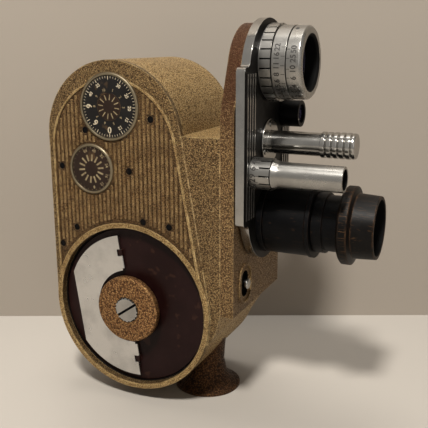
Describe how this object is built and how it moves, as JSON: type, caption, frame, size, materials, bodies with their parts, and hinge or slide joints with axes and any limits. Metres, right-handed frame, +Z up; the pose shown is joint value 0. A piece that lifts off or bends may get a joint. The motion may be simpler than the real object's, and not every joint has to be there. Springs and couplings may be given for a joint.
{
  "type": "cine camera",
  "caption": "Spring-driven spool-loading 8 mm cine camera with a lens turret, a folding winding key, a lift-off film door and a bell foot with a tripod thread.",
  "frame": {"origin": "mouth of the tripod thread in the foot, on the surface the camera stands on", "axes": "+Z up, -Y the way the lenses point, +X towards the film door, away from the winding key"},
  "size_m": [0.0552, 0.1222, 0.1435],
  "materials": {
    "gold_crackle": "crackle enamel",
    "gold_hammered": "worn hammered enamel",
    "chrome": "polished",
    "satin_aluminium": "satin",
    "black_lens": "black enamel, semi-gloss",
    "maroon_enamel": "satin",
    "dial_black": "gloss with white figures",
    "dial_brown": "satin with pale figures",
    "steel": "brushed",
    "lens_glass": "coated"
  },
  "bodies": {
    "body": {"main_casting": "gold_crackle", "front_housing": "gold_crackle", "mechanism_cover": "gold_crackle", "cover_screws": "black_lens", "tripod_foot": "gold_hammered", "tripod_bush": "steel", "film_gate": "steel", "finder_tube": "black_lens", "eyepiece": "black_lens", "eyepiece_glass": "lens_glass", "key_well": "black_lens", "footage_bezel": "chrome", "speed_bezel": "chrome"},
    "pressure_plate": {"pressure_plate": "steel"},
    "shutter": {"shutter": "black_lens"},
    "takeup_reel": {"takeup_spool": "satin_aluminium", "takeup_spindle": "satin_aluminium"},
    "supply_reel": {"supply_spool": "satin_aluminium", "supply_spindle": "satin_aluminium"},
    "winding_key": {"key_disc": "maroon_enamel", "winding_arbor": "steel", "key_boss": "gold_hammered", "key_screw": "chrome", "key_pins": "chrome"},
    "key_plate": {"key_plate": "chrome"},
    "mainspring": {"mainspring_barrel": "steel"},
    "footage_dial": {"footage_dial": "dial_black"},
    "speed_dial": {"speed_dial": "dial_brown"},
    "release_button": {"release_button": "chrome"},
    "film_door": {"film_door": "gold_crackle"},
    "door_latch": {"door_latch": "steel"},
    "turret": {"turret_plate": "chrome", "turret_post": "chrome", "wide_barrel": "satin_aluminium", "wide_front": "satin_aluminium", "wide_glass": "lens_glass", "tele_barrel": "black_lens", "tele_hood": "black_lens", "tele_glass": "lens_glass", "tele_finder_tube": "chrome", "tele_finder_glass": "lens_glass", "wide_finder_tube": "black_lens", "wide_finder_glass": "lens_glass"},
    "wide_focus": {"wide_focus_ring": "satin_aluminium"},
    "wide_iris": {"wide_iris_ring": "satin_aluminium"},
    "tele_focus": {"tele_focus_ring": "black_lens"},
    "tele_iris": {"tele_iris_ring": "black_lens"},
    "finder_focus": {"tele_finder_ring": "chrome"}
  },
  "joints": [
    {"name": "turret_turn", "type": "hinge", "parent": "body", "child": "turret", "pos_m": [0, -0.023, 0.1004], "axis": [0, 1, 0], "continuous": true},
    {"name": "wide_focus_turn", "type": "hinge", "parent": "turret", "child": "wide_focus", "pos_m": [0, -0.027, 0.1283], "axis": [0, 1, 0], "range_deg": [0, 270]},
    {"name": "wide_iris_turn", "type": "hinge", "parent": "turret", "child": "wide_iris", "pos_m": [0, -0.032, 0.1283], "axis": [0, 1, 0], "range_deg": [0, 90]},
    {"name": "tele_focus_turn", "type": "hinge", "parent": "turret", "child": "tele_focus", "pos_m": [0, -0.035, 0.0725], "axis": [0, 1, 0], "range_deg": [0, 270]},
    {"name": "tele_iris_turn", "type": "hinge", "parent": "turret", "child": "tele_iris", "pos_m": [0, -0.043, 0.0725], "axis": [0, 1, 0], "range_deg": [0, 90]},
    {"name": "finder_ring_turn", "type": "hinge", "parent": "turret", "child": "finder_focus", "pos_m": [-0.015, -0.03, 0.0915], "axis": [0, 1, 0], "range_deg": [0, 180]},
    {"name": "key_turn", "type": "hinge", "parent": "body", "child": "winding_key", "pos_m": [-0.02, 0.0214, 0.0375], "axis": [1, 0, 0], "continuous": true},
    {"name": "key_fold", "type": "hinge", "parent": "winding_key", "child": "key_plate", "pos_m": [-0.02195, 0.02259, 0.03732], "axis": [0, 0.1478, 0.989], "range_deg": [0, 90]},
    {"name": "mainspring_turn", "type": "hinge", "parent": "body", "child": "mainspring", "pos_m": [-0.013, 0.0214, 0.0375], "axis": [1, 0, 0], "continuous": true},
    {"name": "footage_turn", "type": "hinge", "parent": "body", "child": "footage_dial", "pos_m": [-0.022, 0.0275, 0.1129], "axis": [1, 0, 0], "continuous": true},
    {"name": "speed_turn", "type": "hinge", "parent": "body", "child": "speed_dial", "pos_m": [-0.022, 0.0361, 0.0899], "axis": [1, 0, 0], "range_deg": [-120, 120]},
    {"name": "takeup_turn", "type": "hinge", "parent": "body", "child": "takeup_reel", "pos_m": [0, 0.0214, 0.0375], "axis": [1, 0, 0], "continuous": true},
    {"name": "supply_turn", "type": "hinge", "parent": "body", "child": "supply_reel", "pos_m": [0, 0.0268, 0.1016], "axis": [1, 0, 0], "continuous": true},
    {"name": "shutter_spin", "type": "hinge", "parent": "body", "child": "shutter", "pos_m": [0, -0.015, 0.0811], "axis": [0, 1, 0], "continuous": true},
    {"name": "pressure_plate_lift", "type": "slide", "parent": "body", "child": "pressure_plate", "axis": [0, 1, 0], "range_m": [0, 0.002], "stiffness_N_per_m": 60},
    {"name": "release_press", "type": "slide", "parent": "body", "child": "release_button", "axis": [0, 1, 0], "range_m": [0, 0.0012], "stiffness_N_per_m": 300},
    {"name": "door_lift", "type": "slide", "parent": "body", "child": "film_door", "axis": [1, 0, 0], "range_m": [0, 0.03]},
    {"name": "latch_turn", "type": "hinge", "parent": "film_door", "child": "door_latch", "pos_m": [0.022, 0.024, 0.07], "axis": [1, 0, 0], "range_deg": [0, 90]}
  ],
  "couplings": [
    {"joint": "footage_turn", "follows": "mainspring_turn", "ratio": 0.05}
  ]
}
